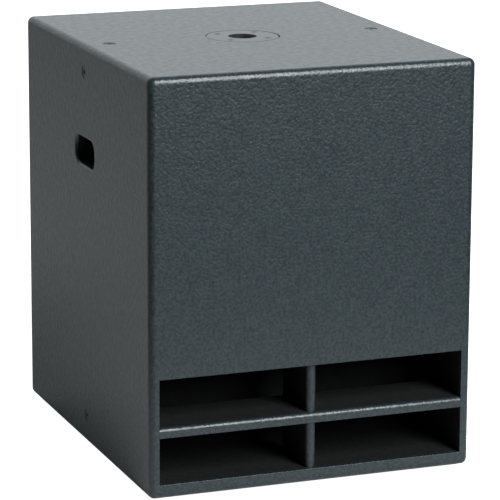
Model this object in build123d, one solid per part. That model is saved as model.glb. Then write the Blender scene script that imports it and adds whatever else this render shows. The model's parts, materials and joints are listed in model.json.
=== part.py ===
from build123d import *
import os

# A slot-loaded band-pass subwoofer cabinet with an 18 inch driver, in millimetres.
# +Z is up, the front faces -Y, and the origin is on the floor under the cabinet's middle.

# Cabinet
WIDTH = 500
DEPTH = 590
BOX_HEIGHT = 612
FOOT_HEIGHT = 8
EDGE_RADIUS = 10
SIDE_THICK = 15
PANEL_THICK = 18
FLOOR_THICK = 21
LIP_RADIUS = 0.5
FIT_GAP = 0.15

# Screws, with the radius and height of each head and the radius and length of each shank
SMALL_SCREW = (4, 2.4, 1.9, 14)
PANEL_SCREW = (5.5, 3.5, 2.5, 40)
FOOT_SCREW = (5, 2.6, 2.2, 22)
SOCKET_SCREW = (2.6, 1.6, 1.4, 8)
HOLE_SPARE = 1

# Port block at the foot of the front, with its heights above the cabinet's underside
OPENING_TOP = 177
SHELF_BOTTOM = 90.5
BOARD_THICK = 15
PORT_DEPTH = 100
SHELF_NOSE = 6
DIVIDER_NOSE = 7
DIVIDER_RECESS = 5

# Rear panel
REAR_RECESS = 8
REAR_GAP = 0.8
REAR_GASKET = 3
BATTEN = 22
REAR_COLUMN_SCREWS = 5
REAR_ROW_SCREWS = 3
REAR_ROW_SPAN = 300
GASKET_INSET = 1

# Driver baffle, a partition let into grooves in the sides
BAFFLE_FRONT = -134
GROOVE_DEPTH = 5
CUTOUT_RADIUS = 212.5

# Driver, with depths measured back from the face of its flange
DRIVER_HEIGHT = 350
DRIVER_GASKET = 3
FLANGE_RADIUS = 230
FLANGE_INNER = 203.5
FLANGE_THICK = 8
BOLT_CIRCLE_RADIUS = 221.5
BOLT_COUNT = 8
BOLT_RADIUS = 3
BOLT_CLEARANCE = 0.4
BOLT_HEAD_RADIUS = 5
BOLT_HEAD_HEIGHT = 6
BOLT_KEY = 2.9
BOLT_KEY_DEPTH = 3.5
TEE_WALL = 1.2
TEE_LENGTH = 10
TEE_FLANGE_RADIUS = 8.5
TEE_FLANGE_THICK = 1.5
TEE_THREAD_GAP = 0.05
COLLAR_INNER = 206
COLLAR_OUTER = 215
COLLAR_BACK = 20
ARM_COUNT = 8
ARM_WIDTH = 28
ARM_THICK = 12
ARM_TOP = (220, 6)
ARM_KNEE = (142, 80)
ARM_FOOT = (122, 118)
SPIDER_DEPTH = 78
SPIDER_RADIUS = 136
SPIDER_FLAT_RADIUS = 124
SPIDER_WAVES = 6
SPIDER_WAVE_HEIGHT = 3
SPIDER_THICK = 1
SPIDER_ROOM = 22
LEDGE_THICK = 8
SEAT_DEPTH = 118
SEAT_RADIUS = 56
SEAT_THICK = 10
TOP_PLATE_THICK = 12
PLATE_RADIUS = 98
MAGNET_THICK = 24
MAGNET_RADIUS = 110
MAGNET_BORE = 60
MAGNET_CHAMFER = 2
BACK_PLATE_THICK = 14
PLATE_CHAMFER = 3
POLE_RADIUS = 49
POLE_RISE = 6
POLE_VENT = 16
VENT_CHAMFER = 4
COIL_GAP = 1.2
FORMER_WALL = 0.6
FORMER_FRONT = 56
FORMER_LENGTH = 80
WINDING_THICK = 1.4
WINDING_LENGTH = 24
CONE_RADIUS = 174
CONE_LIP = 8
CONE_DEPTH = 60
CONE_THICK = 1.6
ROLL_RADIUS = 10
SURROUND_THICK = 1.2
SURROUND_OUTER = 212
CAP_RADIUS = 62
CAP_RISE = 18
CAP_THICK = 1
LEAD_RADIUS = 1.2
LEAD_GAP = 0.6
LEAD_END_RADIUS = 84
LEAD_DIP = 12
LEAD_KNEE = (128, 50)
LEAD_BENDS = (8, 20)
LEAD_OFFSET = 16.2

# Terminal block on the driver's lowest arm
BLOCK_LENGTH = 34
BLOCK_THICK = 10
BLOCK_WIDTH = 37
TAB_SPACING = 16
TAB_LENGTH = 9
TAB_WIDTH = 6
TAB_THICK = 0.8

# Hand slots in the sides and the moulded cups behind them
SLOT_LENGTH = 88
SLOT_HEIGHT = 41
SLOT_CORNER = 17
SLOT_ROUND = 5
SLOT_CENTRE = 451
CUP_LENGTH = 98
CUP_BELOW = 2
CUP_ABOVE = 14
CUP_DEPTH = 45
CUP_WALL = 3
CUP_RIM = 10
CUP_RIM_CORNER = 8
CUP_OUTER_BEND = 8
CUP_INNER_BEND = 5
CUP_SCREW_DROP = 8

# Pole cup in the top, for a 35 mm pole
POLE_BORE = 18.25
POLE_BORE_DEPTH = 84
POLE_LEAD_IN = 3.5
POLE_WALL = 3.25
POLE_FLOOR = 4
POLE_FLANGE_RADIUS = 55
POLE_FLANGE_THICK = 5
POLE_FLANGE_CHAMFER = 1
POLE_FLANGE_GAP = 1
POLE_ROUTE_SHIFT = 0.4
POLE_GASKET = 1
POLE_SCREW_X = 29.5
POLE_SCREW_Y = 29
POLE_SCREW_HEAD = 4.5
POLE_SCREW_SHANK = 2.5
POLE_SCREW_LENGTH = 16
POLE_SCREW_KEY = 2.4
POLE_SCREW_SINK = 0.3

# Rigging points, each an M10 thread in a corner bracket, closed by a flush screw
RIGGING_TOP_X = 210
RIGGING_SIDE_HEIGHTS = (45, 572)
RIGGING_SHANK = 5
RIGGING_HEAD = 9.4
RIGGING_RECESS = 0.6
RIGGING_KEY = 3.4
RIGGING_KEY_DEPTH = 5
RIGGING_HOLE_GAP = 0.3
RIGGING_SCREW_LENGTH = 26
BRACKET_LEG = 48
BRACKET_WIDTH = 70
BRACKET_THICK = 4
WELD_NUT_RADIUS = 9
WELD_NUT_HEIGHT = 8
BRACKET_SCREW_Y = 26

# Connector dish in the rear panel
DISH_HEIGHT = 130
DISH_WIDTH = 120
DISH_TALL = 80
DISH_DEPTH = 27
DISH_WALL = 3
DISH_RIM = 15
DISH_GASKET = 1
DISH_CORNER = 8
DISH_INNER_CORNER = 6
DISH_RIM_ROUND = 1.2
DISH_SCREW_INSET = 5
DISH_HOLE_GAP = 1
SOCKET_SPACING = 56
SOCKET_FLANGE = (26, 31)
SOCKET_FLANGE_THICK = 2.5
SOCKET_FLANGE_CORNER = 3
SOCKET_SCREW_X = 9.5
SOCKET_SCREW_Y = 12
SOCKET_RING = 2
SOCKET_RADIUS = 11.8
SOCKET_CAVITY = 9.6
SOCKET_CAVITY_DEPTH = 22
SOCKET_POST = 5.2
SOCKET_POST_DROP = 3
SOCKET_POST_BORE = 1.6
SOCKET_POST_BORE_DEPTH = 8
KEYWAY_RADIUS = 10.2
KEYWAY_DEPTH = 2
KEYWAY_WIDTH = 3.2
SOCKET_BEHIND = 30
CONTACT_LENGTH = 8
CONTACT_WIDTH = 4.8
CONTACT_THICK = 0.8
CONTACT_X = 5.5
CONTACT_Y = 5

# Internal cable, its clips and the damping pads
CABLE_RADIUS = 3.5
CABLE_BEND = 35
CABLE_LIFT = 0.5
CABLE_END_GAP = 1
CABLE_STRAIGHT = 12
CLIP_LENGTH = 12
CLIP_WALL = 2.5
CLIP_SHARES = (0.25, 0.5, 0.75)
WADDING_THICK = 30
WADDING_CORNER = 8
WADDING_SIDE_Y = (85, 235)
WADDING_SIDE_Z = (60, 565)
WADDING_REAR_X = (-200, 200)
WADDING_REAR_Z = (235, 565)

# Feet
FOOT_RADIUS = 20
FOOT_TAPER = 2
FOOT_INSET_X = 60
FOOT_INSET_Y = 60
FOOT_SCREW_POCKET = 7

# Limits that the panels share
INNER_X = WIDTH / 2 - SIDE_THICK
FRONT = -DEPTH / 2
BACK = DEPTH / 2
BOTTOM = FOOT_HEIGHT
TOP = FOOT_HEIGHT + BOX_HEIGHT
FLOOR = BOTTOM + FLOOR_THICK
CEILING = TOP - PANEL_THICK
INSIDE = (-INNER_X, INNER_X)
FULL_DEPTH = (FRONT, BACK)
OPENING_Z = BOTTOM + OPENING_TOP
SHELF_Z = BOTTOM + SHELF_BOTTOM
PORT_BACK = FRONT + PORT_DEPTH
BAFFLE_BACK = BAFFLE_FRONT + PANEL_THICK
REAR_FACE = BACK - REAR_RECESS
REAR_INNER = REAR_FACE - PANEL_THICK
BATTEN_BACK = REAR_INNER - REAR_GASKET
BATTEN_Y = (BATTEN_BACK - BATTEN, BATTEN_BACK)
BATTEN_LINE_X = INNER_X - BATTEN / 2
SLOT_Z = BOTTOM + SLOT_CENTRE
DISH_Z = BOTTOM + DISH_HEIGHT
DISH_FLOOR = REAR_FACE + DISH_GASKET + DISH_WALL - DISH_DEPTH
DRIVER_Z = BOTTOM + DRIVER_HEIGHT
DRIVER_PLACE = Pos(0, BAFFLE_BACK + DRIVER_GASKET, DRIVER_Z)
DRIVER_AXIS = Axis((0, 0, 0), (0, 1, 0))
FORMER_INNER = POLE_RADIUS + COIL_GAP
FORMER_OUTER = FORMER_INNER + FORMER_WALL
WINDING_OUTER = FORMER_OUTER + WINDING_THICK
LOWEST_ARM = Rot(0, 90, 0)
ARM_RUN = Vector(ARM_KNEE[0] - ARM_TOP[0], ARM_KNEE[1] - ARM_TOP[1]).normalized()
ARM_OUT = Vector(ARM_RUN.Y, -ARM_RUN.X)
ARM_MIDDLE = Vector((ARM_TOP[0] + ARM_KNEE[0]) / 2, (ARM_TOP[1] + ARM_KNEE[1]) / 2)
SMALL_SHANK, SMALL_LENGTH = SMALL_SCREW[2:]
PANEL_SHANK, PANEL_LENGTH = PANEL_SCREW[2:]
FOOT_SHANK, FOOT_SCREW_LENGTH = FOOT_SCREW[2:]
SOCKET_SHANK = SOCKET_SCREW[2]

UP = (0, 0, 1)
DOWN = (0, 0, -1)
REARWARD = (0, 1, 0)
FORWARD = (0, -1, 0)


# Shared shapes

def block(x, y, z):
    """Box between a low and a high limit along each axis."""
    middle = [(low + high) / 2 for low, high in (x, y, z)]
    size = [high - low for low, high in (x, y, z)]
    return Pos(*middle) * Box(*size)


def facing(point, direction):
    """Location at a point, with its own Z axis along a direction."""
    return Plane(origin=point, z_dir=direction).location


def bore(point, direction, radius, length):
    """Cylinder that runs a length from a point along a direction."""
    return facing(point, direction) * Pos(0, 0, length / 2) * Cylinder(radius, length)


def group(solids):
    """Several separate solids as one node."""
    return Compound(children=list(solids))


def edges_near(shape, y=None, z=None):
    """Edges whose middle is at a given depth, height or both."""
    found = shape.edges()
    if y is not None:
        found = found.filter_by(lambda edge: abs(edge.center().Y - y) < 0.01)
    if z is not None:
        found = found.filter_by(lambda edge: abs(edge.center().Z - z) < 0.01)
    return found


def mirrored_pairs(x, y):
    """The four points at plus and minus x and y."""
    return [(sx * x, sy * y) for sx in (-1, 1) for sy in (-1, 1)]


def evenly(low, high, count):
    """Evenly spaced values from low to high."""
    return [low + (high - low) * i / (count - 1) for i in range(count)]


# Fasteners stand on the Z axis with the head on top

def cross_recess(size, depth, top):
    """Cross-shaped recess, cut down from a head's top."""
    arm = Box(2 * size, size / 2, depth)
    return Pos(0, 0, top - depth / 2) * (arm + Rot(0, 0, 90) * arm)


def pan_screw(head_radius, head_height, shank_radius, length):
    """Pan-head screw, with the underside of its head at z = 0."""
    head = Pos(0, 0, head_height / 2) * Cylinder(head_radius, head_height)
    head = fillet(head.edges().sort_by(Axis.Z)[-1], 0.4 * head_height)
    shank = Pos(0, 0, -length / 2) * Cylinder(shank_radius, length)
    return head + shank - cross_recess(0.55 * head_radius, 0.6 * head_height, head_height)


def sunk_shape(head_radius, shank_radius, length):
    """Countersunk head and shank, with the head's top at z = 0."""
    taper = head_radius - shank_radius
    outline = Polyline(
        (0, 0), (head_radius, 0), (shank_radius, -taper), (shank_radius, -length), (0, -length), close=True
    )
    return revolve(Plane.XZ * make_face(outline), Axis.Z)


def small_hole(point, direction):
    """Hole for a small screw whose head faces a direction."""
    inward = [-part for part in direction]
    return bore(point, inward, SMALL_SHANK + FIT_GAP, SMALL_LENGTH + HOLE_SPARE)


# Outside panels

def outer_block():
    """Rounded block that every outside panel is cut from."""
    whole = block((-WIDTH / 2, WIDTH / 2), FULL_DEPTH, (BOTTOM, TOP))
    return fillet(whole.edges(), EDGE_RADIUS)


OUTER = outer_block()


def slot_plane(side, x):
    """Plane across a side panel: its X runs fore and aft, its Y up, its Z inward."""
    return Plane(origin=(x, 0, SLOT_Z), x_dir=(0, -side, 0), z_dir=(-side, 0, 0))


def sunk_hole(point, direction, length):
    """Countersunk hole for a rigging screw whose head faces a direction."""
    radius = RIGGING_HEAD + RIGGING_HOLE_GAP
    clear = sunk_shape(radius, RIGGING_SHANK + RIGGING_HOLE_GAP, length)
    step = Pos(0, 0, RIGGING_RECESS / 2) * Cylinder(radius, RIGGING_RECESS)
    return facing(point, direction) * Pos(0, 0, -RIGGING_RECESS) * (clear + step)


def rigging_points():
    """Where each rigging screw meets the outside, and the way its head faces."""
    points = []
    for side in (-1, 1):
        for height in RIGGING_SIDE_HEIGHTS:
            points.append(((side * WIDTH / 2, 0, BOTTOM + height), (side, 0, 0)))
        points.append(((side * RIGGING_TOP_X, 0, TOP), UP))
        points.append(((side * RIGGING_TOP_X, 0, BOTTOM), DOWN))
    return points


def rigging_holes(direction):
    """Countersunk holes of the rigging points that face one way."""
    return [sunk_hole(point, way, BRACKET_LEG) for point, way in rigging_points() if way == direction]


def jamb_round(side):
    """Corner cut that rounds a side panel's inner front edge beside the ports."""
    near = side * INNER_X
    far = side * (INNER_X + LIP_RADIUS)
    corner = block(sorted((near, far)), (FRONT, FRONT + LIP_RADIUS), (FLOOR, OPENING_Z))
    middle = (FLOOR + OPENING_Z) / 2
    post = Pos(far, FRONT + LIP_RADIUS, middle) * Cylinder(LIP_RADIUS, OPENING_Z - FLOOR)
    return corner - post


def side_panel(side):
    """Side panel with its hand slot, baffle groove and screw holes."""
    faces = sorted((side * WIDTH / 2, side * INNER_X))
    panel = OUTER & block(faces, FULL_DEPTH, (BOTTOM, TOP))
    slot = slot_plane(side, side * WIDTH / 2) * RectangleRounded(SLOT_LENGTH, SLOT_HEIGHT, SLOT_CORNER)
    panel -= extrude(slot, SIDE_THICK)
    rim = panel.edges().filter_by(
        lambda edge: abs(edge.center().X - side * WIDTH / 2) < 0.01
        and abs(edge.center().Z - SLOT_Z) < SLOT_HEIGHT
        and abs(edge.center().Y) < SLOT_LENGTH
    )
    panel = panel.fillet(SLOT_ROUND, rim)
    groove = sorted((side * INNER_X, side * (INNER_X + GROOVE_DEPTH)))
    cuts = [block(groove, (BAFFLE_FRONT, BAFFLE_BACK), (FLOOR, CEILING)), jamb_round(side)]
    cuts += rigging_holes((side, 0, 0))
    cuts += [small_hole(point, (-side, 0, 0)) for point in cup_screw_points(side)]
    for end in (-1, 1):
        cuts += [small_hole(point, (-side, 0, 0)) for point in bracket_points(side, end)["wall"]]
    return panel - cuts


def top_panel():
    """Top panel with the recess and hole for the pole cup."""
    panel = OUTER & block(INSIDE, FULL_DEPTH, (CEILING, TOP))
    recess = POLE_FLANGE_THICK + POLE_GASKET
    cuts = [
        bore((POLE_ROUTE_SHIFT, 0, TOP), DOWN, POLE_FLANGE_RADIUS + POLE_FLANGE_GAP, recess),
        bore((0, 0, TOP), DOWN, POLE_BORE + POLE_WALL + POLE_FLANGE_GAP, PANEL_THICK),
    ]
    radius = POLE_SCREW_SHANK + FIT_GAP
    depth = POLE_SCREW_LENGTH + HOLE_SPARE
    cuts += [bore((x, y, TOP), DOWN, radius, depth) for x, y in pole_screw_points()]
    cuts += rigging_holes(UP)
    for side in (-1, 1):
        cuts += [small_hole(point, DOWN) for point in bracket_points(side, 1)["board"]]
    return panel - cuts


def bottom_panel():
    """Bottom panel, whose crisp front lip is the foot of the ports."""
    panel = OUTER & block(INSIDE, FULL_DEPTH, (BOTTOM, FLOOR))
    panel = panel.fillet(LIP_RADIUS, edges_near(panel, FRONT, FLOOR))
    depth = FOOT_SCREW_LENGTH - FOOT_HEIGHT / 2 + HOLE_SPARE
    cuts = [bore((x, y, BOTTOM), UP, FOOT_SHANK + FIT_GAP, depth) for x, y in foot_points()]
    cuts += rigging_holes(DOWN)
    for side in (-1, 1):
        cuts += [small_hole(point, UP) for point in bracket_points(side, -1)["board"]]
    return panel - cuts


def front_panel():
    """Plain front above the ports."""
    panel = block(INSIDE, (FRONT, FRONT + PANEL_THICK), (OPENING_Z, CEILING))
    return panel.fillet(LIP_RADIUS, edges_near(panel, FRONT, OPENING_Z))


# Ports: four openings round one shelf and two dividers

def port_shelf():
    """Shelf right across the ports, with a rounded nose."""
    shelf = block(INSIDE, (FRONT, PORT_BACK), (SHELF_Z, SHELF_Z + BOARD_THICK))
    shelf = shelf.fillet(SHELF_NOSE, edges_near(shelf, FRONT, SHELF_Z + BOARD_THICK))
    return shelf.fillet(LIP_RADIUS, edges_near(shelf, FRONT, SHELF_Z))


def port_divider(low, high):
    """Upright between two ports, with a bull-nosed edge a little behind the shelf's nose."""
    half = BOARD_THICK / 2
    front = FRONT + DIVIDER_RECESS
    board = block((-half, half), (front, PORT_BACK), (low, high))
    return board.fillet(DIVIDER_NOSE, edges_near(board, front, (low + high) / 2))


def port_roof():
    """Board behind the front panel that carries the ports' ceiling back."""
    return block(INSIDE, (FRONT + PANEL_THICK, PORT_BACK), (OPENING_Z, OPENING_Z + BOARD_THICK))


# Rear panel, its battens and its gasket

def rear_screw_points():
    """Screw places round the rear panel, over the middle of the battens."""
    low = FLOOR + BATTEN / 2
    high = CEILING - BATTEN / 2
    column = evenly(low + BATTEN, high - BATTEN, REAR_COLUMN_SCREWS)
    row = evenly(-REAR_ROW_SPAN / 2, REAR_ROW_SPAN / 2, REAR_ROW_SCREWS)
    points = [(x, z) for x in (-BATTEN_LINE_X, BATTEN_LINE_X) for z in column]
    return points + [(x, z) for z in (low, high) for x in row]


def rear_holes():
    """Clearance holes for the rear panel's screws, right through to the battens."""
    depth = PANEL_LENGTH + HOLE_SPARE
    return [bore((x, REAR_FACE, z), FORWARD, PANEL_SHANK + FIT_GAP, depth) for x, z in rear_screw_points()]


def rear_panel():
    """Removable rear panel, set in from the cabinet's back edges."""
    x = INNER_X - REAR_GAP
    panel = block((-x, x), (REAR_INNER, REAR_FACE), (FLOOR + REAR_GAP, CEILING - REAR_GAP))
    half_wide = DISH_WIDTH / 2 + DISH_WALL + DISH_HOLE_GAP
    half_tall = DISH_TALL / 2 + DISH_WALL + DISH_HOLE_GAP
    hole = block((-half_wide, half_wide), (REAR_INNER, REAR_FACE), (DISH_Z - half_tall, DISH_Z + half_tall))
    return panel - [hole] - rear_holes() - dish_holes()


def batten(x, z):
    """Batten that the rear panel closes on."""
    return block(x, BATTEN_Y, z) - rear_holes()


def rear_gasket():
    """Foam strip between the rear panel and its battens."""
    wide = INNER_X - GASKET_INSET
    tall = (FLOOR + GASKET_INSET, CEILING - GASKET_INSET)
    outer = block((-wide, wide), (BATTEN_BACK, REAR_INNER), tall)
    inside = INNER_X - BATTEN
    inner = block((-inside, inside), (BATTEN_BACK, REAR_INNER), (FLOOR + BATTEN, CEILING - BATTEN))
    return outer - inner - rear_holes()


def rear_panel_screws():
    """Screws round the rear panel."""
    screw = pan_screw(*PANEL_SCREW)
    return group(facing((x, REAR_FACE, z), REARWARD) * screw for x, z in rear_screw_points())


# Driver, built round the Y axis with its flange face at y = 0 and its magnet at +y

def turned(*outline):
    """Solid turned round the driver's axis from (radius, depth) points."""
    return revolve(make_face(Polyline(*outline, close=True)), DRIVER_AXIS)


def ring(inner, outer, front, back):
    """Plain ring round the driver's axis."""
    return turned((inner, front), (outer, front), (outer, back), (inner, back))


def round_driver(shape, count, start=0):
    """Copies of a shape spaced evenly round the driver's axis."""
    return [Rot(0, start + 360 * i / count, 0) * shape for i in range(count)]


def bolt_holes(front, length, radius):
    """Holes on the driver's bolt circle, from a depth backwards."""
    hole = bore((BOLT_CIRCLE_RADIUS, front, 0), REARWARD, radius, length)
    return round_driver(hole, BOLT_COUNT, 180 / BOLT_COUNT)


def driver_baffle():
    """Partition with the driver's cut-out and bolt holes."""
    half = INNER_X + GROOVE_DEPTH
    board = block((-half, half), (BAFFLE_FRONT, BAFFLE_BACK), (FLOOR, CEILING))
    board -= bore((0, BAFFLE_FRONT, DRIVER_Z), REARWARD, CUTOUT_RADIUS, PANEL_THICK)
    front = -DRIVER_GASKET - PANEL_THICK
    holes = bolt_holes(front, PANEL_THICK, BOLT_RADIUS + TEE_WALL + FIT_GAP)
    return board - [DRIVER_PLACE * hole for hole in holes]


def driver_gasket():
    """Ring gasket between the baffle and the driver's flange."""
    strip = ring(CUTOUT_RADIUS + BOLT_CLEARANCE, FLANGE_RADIUS, -DRIVER_GASKET, 0)
    return strip - bolt_holes(-DRIVER_GASKET, DRIVER_GASKET, BOLT_RADIUS + BOLT_CLEARANCE)


def basket_arm():
    """One arm of the basket, with a knee at the spider's ledge."""
    inner = [(r - ARM_THICK, d) for r, d in (ARM_FOOT, ARM_KNEE, ARM_TOP)]
    outline = make_face(Polyline(ARM_TOP, ARM_KNEE, ARM_FOOT, *inner, close=True))
    return extrude(outline, ARM_WIDTH / 2, both=True)


def basket():
    """Cast basket: flange, collar, arms, spider ledge and magnet seat."""
    ledge_front = SPIDER_DEPTH + SPIDER_THICK
    collar = ring(COLLAR_INNER, COLLAR_OUTER, FLANGE_THICK, COLLAR_BACK)
    ledge = ring(SPIDER_FLAT_RADIUS, ARM_KNEE[0], ledge_front, ledge_front + LEDGE_THICK)
    seat = ring(SEAT_RADIUS, ARM_FOOT[0], SEAT_DEPTH - SEAT_THICK, SEAT_DEPTH)
    frame = ring(FLANGE_INNER, FLANGE_RADIUS, 0, FLANGE_THICK) + collar + ledge + seat
    for arm in round_driver(basket_arm(), ARM_COUNT):
        frame += arm
    frame -= ring(FORMER_OUTER, SPIDER_RADIUS + HOLE_SPARE, SPIDER_DEPTH - SPIDER_ROOM, ledge_front)
    frame -= bolt_holes(0, FLANGE_THICK, BOLT_RADIUS + BOLT_CLEARANCE)
    return frame


def top_plate():
    """Steel ring at the front of the magnet, round the coil."""
    inner = WINDING_OUTER + COIL_GAP
    return ring(inner, PLATE_RADIUS, SEAT_DEPTH, SEAT_DEPTH + TOP_PLATE_THICK)


def magnet():
    """Ferrite ring."""
    front = SEAT_DEPTH + TOP_PLATE_THICK
    back = front + MAGNET_THICK
    shoulder = MAGNET_RADIUS - MAGNET_CHAMFER
    return turned(
        (MAGNET_BORE, front), (shoulder, front), (MAGNET_RADIUS, front + MAGNET_CHAMFER),
        (MAGNET_RADIUS, back - MAGNET_CHAMFER), (shoulder, back), (MAGNET_BORE, back),
    )


def pole_yoke():
    """Back plate and vented pole in one piece."""
    front = SEAT_DEPTH + TOP_PLATE_THICK + MAGNET_THICK
    back = front + BACK_PLATE_THICK
    tip = SEAT_DEPTH - POLE_RISE
    return turned(
        (POLE_VENT, tip), (POLE_RADIUS, tip), (POLE_RADIUS, front), (PLATE_RADIUS, front),
        (PLATE_RADIUS, back - PLATE_CHAMFER), (PLATE_RADIUS - PLATE_CHAMFER, back),
        (POLE_VENT + VENT_CHAMFER, back), (POLE_VENT, back - VENT_CHAMFER),
    )


def voice_coil_former():
    """Thin tube that joins the winding to the cone."""
    return ring(FORMER_INNER, FORMER_OUTER, FORMER_FRONT, FORMER_FRONT + FORMER_LENGTH)


def voice_coil_winding():
    """Copper winding at the former's rear end."""
    back = FORMER_FRONT + FORMER_LENGTH
    return ring(FORMER_OUTER, WINDING_OUTER, back - WINDING_LENGTH, back)


def cone_depth_at(radius):
    """Depth of the cone's front surface at a radius."""
    return CONE_DEPTH * (CONE_RADIUS - radius) / (CONE_RADIUS - FORMER_OUTER)


def cone():
    """Paper cone with a flat outer lip for the surround."""
    lip = CONE_RADIUS + CONE_LIP
    return turned(
        (FORMER_OUTER, CONE_DEPTH), (CONE_RADIUS, 0), (lip, 0), (lip, CONE_THICK),
        (CONE_RADIUS, CONE_THICK), (FORMER_OUTER, CONE_DEPTH + CONE_THICK),
    )


def dust_cap():
    """Domed cap over the coil, standing on the cone."""
    base = cone_depth_at(CAP_RADIUS)
    inner = CAP_RADIUS - CAP_THICK
    outer_arc = RadiusArc((CAP_RADIUS, base), (0, base - CAP_RISE), dome_radius(CAP_RADIUS, CAP_RISE))
    inner_rise = CAP_RISE - CAP_THICK
    inner_arc = RadiusArc((0, base - inner_rise), (inner, base), -dome_radius(inner, inner_rise))
    outline = [outer_arc, Line((0, base - CAP_RISE), (0, base - inner_rise)), inner_arc]
    outline.append(Line((inner, base), (CAP_RADIUS, base)))
    return revolve(make_face(outline), DRIVER_AXIS)


def dome_radius(half_width, rise):
    """Radius of the sphere whose cap has a given half width and rise."""
    return (half_width**2 + rise**2) / (2 * rise)


def surround():
    """Half-roll rubber edge between the cone and the flange."""
    middle = CONE_RADIUS + CONE_LIP + ROLL_RADIUS
    roll = Circle(ROLL_RADIUS + SURROUND_THICK / 2) - Circle(ROLL_RADIUS - SURROUND_THICK / 2)
    roll &= Pos(0, -ROLL_RADIUS) * Rectangle(4 * ROLL_RADIUS, 2 * ROLL_RADIUS)
    bead = revolve(Pos(middle, -SURROUND_THICK / 2) * roll, DRIVER_AXIS)
    inner = ring(CONE_RADIUS, middle - ROLL_RADIUS + 0.5, -SURROUND_THICK, 0)
    outer = ring(middle + ROLL_RADIUS - 0.5, SURROUND_OUTER, -SURROUND_THICK, 0)
    return bead + inner + outer


def spider():
    """Corrugated centring disc between the former and the basket's ledge."""
    start = FORMER_OUTER
    pitch = (SPIDER_FLAT_RADIUS - start) / SPIDER_WAVES
    shape = []
    for depth in (SPIDER_DEPTH, SPIDER_DEPTH + SPIDER_THICK):
        for i in range(2 * SPIDER_WAVES):
            left = start + pitch * i / 2
            crest = depth + SPIDER_WAVE_HEIGHT * (-1) ** i
            shape.append(
                ThreePointArc((left, depth), (left + pitch / 4, crest), (left + pitch / 2, depth))
            )
        shape.append(Line((SPIDER_FLAT_RADIUS, depth), (SPIDER_RADIUS, depth)))
    for radius in (start, SPIDER_RADIUS):
        shape.append(Line((radius, SPIDER_DEPTH), (radius, SPIDER_DEPTH + SPIDER_THICK)))
    return revolve(make_face(shape), DRIVER_AXIS)


def driver_bolts():
    """Bolts through the flange, the gasket and the baffle."""
    length = FLANGE_THICK + DRIVER_GASKET + PANEL_THICK - HOLE_SPARE
    bolt = Pos(0, 0, BOLT_HEAD_HEIGHT / 2) * Cylinder(BOLT_HEAD_RADIUS, BOLT_HEAD_HEIGHT)
    bolt += Pos(0, 0, -length / 2) * Cylinder(BOLT_RADIUS, length)
    bolt -= extrude(Pos(0, 0, BOLT_HEAD_HEIGHT) * RegularPolygon(BOLT_KEY, 6), -BOLT_KEY_DEPTH)
    placed = facing((BOLT_CIRCLE_RADIUS, FLANGE_THICK, 0), REARWARD) * bolt
    return group(DRIVER_PLACE * one for one in round_driver(placed, BOLT_COUNT, 180 / BOLT_COUNT))


def driver_tee_nuts():
    """Flanged nuts pressed into the front of the baffle."""
    front = -DRIVER_GASKET - PANEL_THICK
    face = (BOLT_CIRCLE_RADIUS, front - TEE_FLANGE_THICK, 0)
    barrel = bore((BOLT_CIRCLE_RADIUS, front, 0), REARWARD, BOLT_RADIUS + TEE_WALL, TEE_LENGTH)
    flange = bore(face, REARWARD, TEE_FLANGE_RADIUS, TEE_FLANGE_THICK)
    hole = bore(face, REARWARD, BOLT_RADIUS + TEE_THREAD_GAP, TEE_LENGTH + TEE_FLANGE_THICK)
    nut = barrel + flange - hole
    return group(DRIVER_PLACE * one for one in round_driver(nut, BOLT_COUNT, 180 / BOLT_COUNT))


# The terminal block stands on the outside of the basket's lowest arm

def on_arm(along, out):
    """(radius, depth) of a point along the arm's outer face and out from it."""
    point = ARM_MIDDLE + ARM_RUN * along + ARM_OUT * out
    return (point.X, point.Y)


def terminal_block():
    """Moulded block that carries the driver's terminals."""
    half = BLOCK_LENGTH / 2
    corners = [on_arm(-half, 0), on_arm(half, 0), on_arm(half, BLOCK_THICK), on_arm(-half, BLOCK_THICK)]
    body = extrude(make_face(Polyline(*corners, close=True)), BLOCK_WIDTH / 2, both=True)
    return LOWEST_ARM * body


def terminal_tabs():
    """Two flat push-on tabs on the terminal block."""
    half = TAB_WIDTH / 2
    tip = BLOCK_THICK + TAB_LENGTH
    corners = [on_arm(-half, BLOCK_THICK), on_arm(half, BLOCK_THICK), on_arm(half, tip), on_arm(-half, tip)]
    tab = extrude(make_face(Polyline(*corners, close=True)), TAB_THICK / 2, both=True)
    offsets = (-TAB_SPACING / 2, TAB_SPACING / 2)
    return group(DRIVER_PLACE * LOWEST_ARM * Pos(0, 0, offset) * tab for offset in offsets)


def tinsel_leads():
    """Two flexible leads from the terminal block to the back of the cone."""
    end = (LEAD_END_RADIUS, cone_depth_at(LEAD_END_RADIUS) + CONE_THICK + LEAD_RADIUS + LEAD_GAP)
    start = on_arm(0, -FIT_GAP)
    path = FilletPolyline(start, on_arm(0, -LEAD_DIP), LEAD_KNEE, end, radius=list(LEAD_BENDS))
    lead = sweep(Plane(origin=path @ 0, z_dir=path % 0) * Circle(LEAD_RADIUS), path)
    offsets = (-LEAD_OFFSET, LEAD_OFFSET)
    return group(DRIVER_PLACE * LOWEST_ARM * Pos(0, 0, offset) * lead for offset in offsets)


# Hand slots' cups

def cup_centre():
    """Height of the cup's middle above the slot's middle."""
    return (CUP_ABOVE - CUP_BELOW) / 2


def cup_height():
    """Height of the space inside the cup."""
    return SLOT_HEIGHT + CUP_BELOW + CUP_ABOVE


def cup_screw_points(side):
    """Where the cup's screws meet its rim, inside the cabinet."""
    half_y = CUP_LENGTH / 2 + CUP_WALL + CUP_RIM / 2
    half_z = cup_height() / 2 - CUP_SCREW_DROP
    x = side * (INNER_X - CUP_WALL)
    return [(x, y, SLOT_Z + cup_centre() + z) for y, z in mirrored_pairs(half_y, half_z)]


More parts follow.
